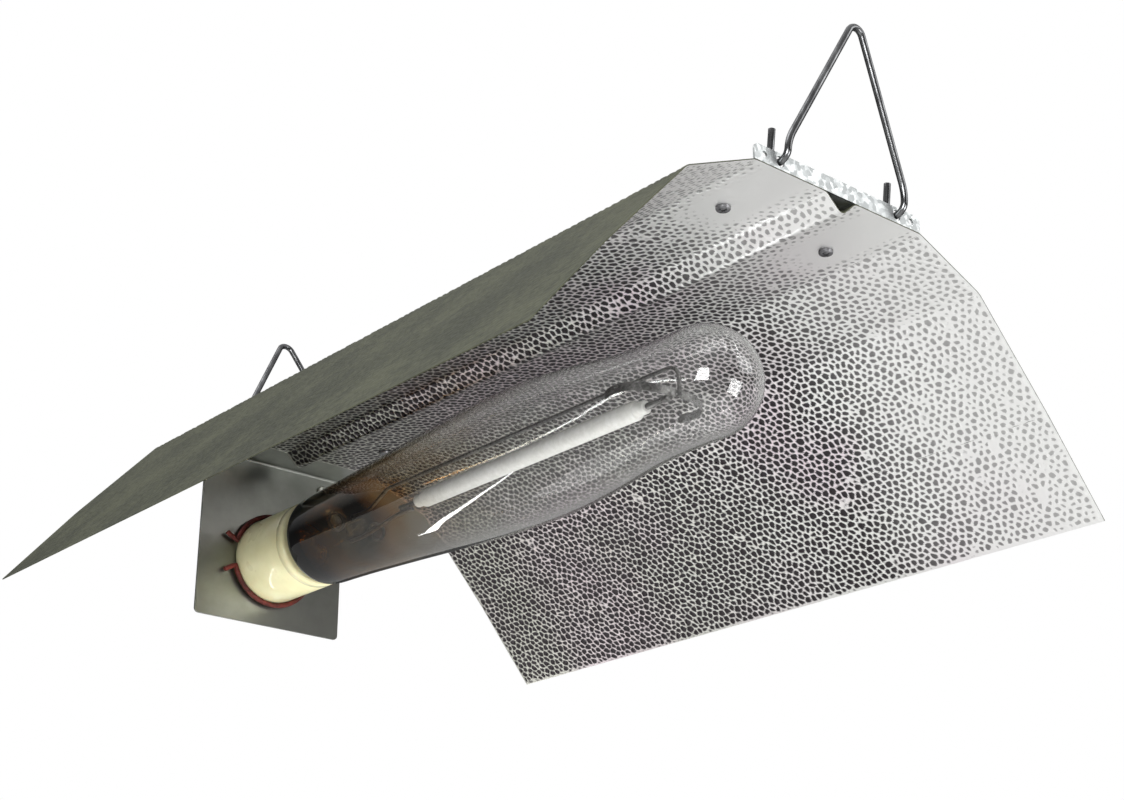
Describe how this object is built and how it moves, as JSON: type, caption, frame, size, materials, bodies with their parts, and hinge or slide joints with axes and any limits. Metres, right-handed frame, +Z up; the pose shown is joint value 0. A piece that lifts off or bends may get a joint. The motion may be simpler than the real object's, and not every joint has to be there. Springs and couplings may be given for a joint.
{
  "type": "hanging grow lamp",
  "caption": "Gull-wing hammered aluminium grow-light reflector hung on two wire hangers, with a porcelain screw lampholder on a steel end plate and a clear high-pressure discharge lamp.",
  "frame": {"origin": "on the hanging line, midway along the reflector: the line on which hooks bear under the tops of the two wire hangers", "axes": "+X along the lamp from the lampholder to the open end, +Y across the reflector to its right wing, +Z up"},
  "size_m": [0.5457, 0.3988, 0.218],
  "materials": {
    "hammered_aluminium": "hammered, bright inside, dull outside",
    "galvanised_steel": "galvanised, light spangle",
    "plated_plate": "smooth zinc plating, soft mirror",
    "plated_fastener": "zinc plated",
    "bright_wire": "bright drawn wire",
    "porcelain": "cream glaze",
    "contact_brass": "bare brass",
    "ring_oxide": "dark red-brown, dull",
    "lamp_brass": "bright lamp base",
    "base_glass": "black glass",
    "clear_glass": "clear, with a dark mirror deposit at the neck",
    "stem_glass": "clear, pressed",
    "arc_ceramic": "translucent white alumina",
    "niobium": "grey metal, heat-tinted",
    "black_nylon": "moulded"
  },
  "bodies": {
    "root": {"reflector_sheet": "hammered_aluminium", "end_bracket_near": "galvanised_steel", "end_bracket_far": "galvanised_steel", "lampholder_plate": "plated_plate", "lampholder_body": "porcelain", "retaining_ring": "ring_oxide", "screw_shell": "contact_brass", "centre_contact": "contact_brass", "shell_terminal": "contact_brass", "contact_terminal": "contact_brass", "shell_terminal_screw": "plated_fastener", "contact_terminal_screw": "plated_fastener", "lampholder_screw_upper": "plated_fastener", "lampholder_screw_lower": "plated_fastener", "cord_gland_body": "black_nylon", "cord_gland_nut": "black_nylon", "cord_gland_cap": "black_nylon", "earth_screw": "plated_fastener", "earth_nut": "plated_fastener", "bracket_screw_near_left": "plated_fastener", "bracket_nut_near_left": "plated_fastener", "bracket_screw_near_right": "plated_fastener", "bracket_nut_near_right": "plated_fastener", "bracket_screw_far_left": "plated_fastener", "bracket_nut_far_left": "plated_fastener", "bracket_screw_far_right": "plated_fastener", "bracket_nut_far_right": "plated_fastener"},
    "hanger_near": {"hanger_near": "bright_wire"},
    "hanger_far": {"hanger_far": "bright_wire"},
    "lamp_tip": {"lamp_base_contact": "lamp_brass", "lamp_base_insulator": "base_glass"},
    "lamp": {"lamp_base_shell": "lamp_brass", "lamp_envelope": "clear_glass", "lamp_stem": "stem_glass", "arc_tube": "arc_ceramic", "arc_lead_base_end": "niobium", "arc_lead_dome_end": "niobium", "frame_wire_long": "niobium", "frame_wire_short": "niobium", "dome_spring_left": "niobium", "dome_spring_right": "niobium", "getter_ring_left": "niobium", "getter_ring_right": "niobium"}
  },
  "joints": [
    {"name": "near_hanger_swing", "type": "hinge", "parent": "root", "child": "hanger_near", "pos_m": [0.2419, 0, -0.07705], "axis": [0, 1, 0], "range_deg": [-83, 67]},
    {"name": "far_hanger_swing", "type": "hinge", "parent": "root", "child": "hanger_far", "pos_m": [-0.2419, 0, -0.0758], "axis": [0, -1, 0], "range_deg": [-90, 60]},
    {"name": "lamp_travel", "type": "slide", "parent": "root", "child": "lamp_tip", "axis": [1, 0, 0], "range_m": [0, 0.0254]},
    {"name": "lamp_turn", "type": "hinge", "parent": "lamp_tip", "child": "lamp", "pos_m": [0, 0, -0.156], "axis": [1, 0, 0], "range_deg": [0, 1440]}
  ],
  "couplings": [
    {"joint": "lamp_travel", "follows": "lamp_turn", "m_per_rad": 0.0010106}
  ]
}
